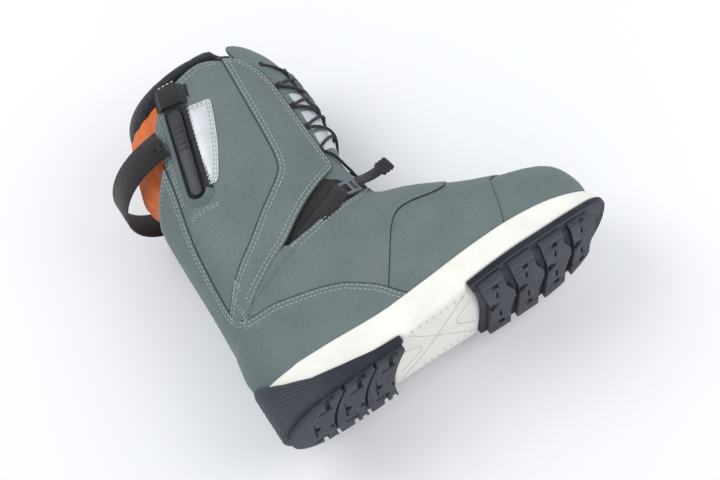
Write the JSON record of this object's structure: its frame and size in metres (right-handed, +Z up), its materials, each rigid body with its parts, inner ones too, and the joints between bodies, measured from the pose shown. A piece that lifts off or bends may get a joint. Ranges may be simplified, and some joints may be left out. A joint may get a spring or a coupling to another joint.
{
  "type": "snowboard boot",
  "caption": "Right-foot snowboard boot with flexing ankle, padded liner, lace zones with side pull handles, heel pull loop and two-part tread.",
  "frame": {"origin": "centre of the bounding box in plan, on the ground under the tread", "axes": "+X towards the toe, +Z up the shaft, -Y is the lateral (outer) side of this right boot"},
  "size_m": [0.3151, 0.1326, 0.307],
  "materials": {
    "rubber_sole": "matte",
    "foam_midsole": "matte",
    "gel_pad": "satin",
    "board": "matte",
    "grey_leather": "satin",
    "black_textile": "matte",
    "liner_rubber": "matte",
    "liner_dark": "matte",
    "black_plastic": "satin",
    "lace_cord": "matte",
    "black_webbing": "matte",
    "grey_plastic": "satin",
    "reflective_film": "satin",
    "liner_orange": "matte",
    "collar_mesh": "matte",
    "handle_plastic": "satin"
  },
  "bodies": {
    "foot": {"outsole_heel": "rubber_sole", "outsole_forefoot": "rubber_sole", "midsole": "foam_midsole", "heel_cushion": "gel_pad", "lasting_board": "board", "toe_cap": "grey_leather", "vamp": "grey_leather", "quarter_lateral": "grey_leather", "quarter_medial": "grey_leather", "heel_counter": "grey_leather", "gusset_lateral": "black_textile", "gusset_medial": "black_textile", "tongue_instep": "grey_leather", "liner_sole": "liner_rubber", "liner_foot": "liner_dark", "footbed": "liner_dark", "instep_lace_loops": "black_plastic", "lace_lower": "lace_cord", "ankle_strap": "black_webbing"},
    "cuff": {"cuff_panel_lateral": "grey_leather", "cuff_panel_medial": "grey_leather", "eyestay_lateral": "grey_leather", "eyestay_medial": "grey_leather", "back_panel": "grey_leather", "tongue_shaft": "grey_leather", "tongue_patches": "reflective_film", "lace_guide": "grey_plastic", "lace_upper": "lace_cord", "lace_loops_lateral": "black_plastic", "lace_loops_medial": "black_plastic", "liner_cuff": "liner_orange", "liner_collar": "collar_mesh", "liner_tongue": "liner_dark", "pocket_lateral": "black_textile", "pocket_medial": "black_textile", "reflective_lateral": "reflective_film", "reflective_medial": "reflective_film", "keeper_lateral": "black_plastic", "keeper_medial": "black_plastic", "loop_anchors": "black_textile"},
    "buckle": {"ladder_buckle": "grey_plastic"},
    "strap": {"strap_tail": "black_webbing", "strap_end": "black_plastic"},
    "lateral_pull": {"handle_lateral": "handle_plastic"},
    "medial_pull": {"handle_medial": "handle_plastic"},
    "heel_loop": {"pull_loop": "black_webbing"}
  },
  "joints": [
    {"name": "ankle_flex", "type": "hinge", "parent": "foot", "child": "cuff", "pos_m": [-0.062, 0, 0.115], "axis": [0, 1, 0], "range_deg": [0, 9], "stiffness_Nm_per_rad": 60},
    {"name": "lateral_handle_pull", "type": "slide", "parent": "cuff", "child": "lateral_pull", "axis": [0.2748, -0.0717, 0.9588], "range_m": [0, 0.045]},
    {"name": "medial_handle_pull", "type": "slide", "parent": "cuff", "child": "medial_pull", "axis": [0.2748, 0.0717, 0.9588], "range_m": [0, 0.045]},
    {"name": "loop_swing", "type": "hinge", "parent": "cuff", "child": "heel_loop", "pos_m": [-0.103, 0, 0.25], "axis": [0, 1, 0], "range_deg": [-20, 30]},
    {"name": "buckle_tilt", "type": "hinge", "parent": "foot", "child": "buckle", "pos_m": [-0.00393, -0.03307, 0.1372], "axis": [0.1634, 0.0451, -0.9855], "range_deg": [0, 30]},
    {"name": "strap_swing", "type": "hinge", "parent": "buckle", "child": "strap", "pos_m": [0.01106, -0.02666, 0.13998], "axis": [0.1634, 0.0451, -0.9855], "range_deg": [0, 50]}
  ]
}
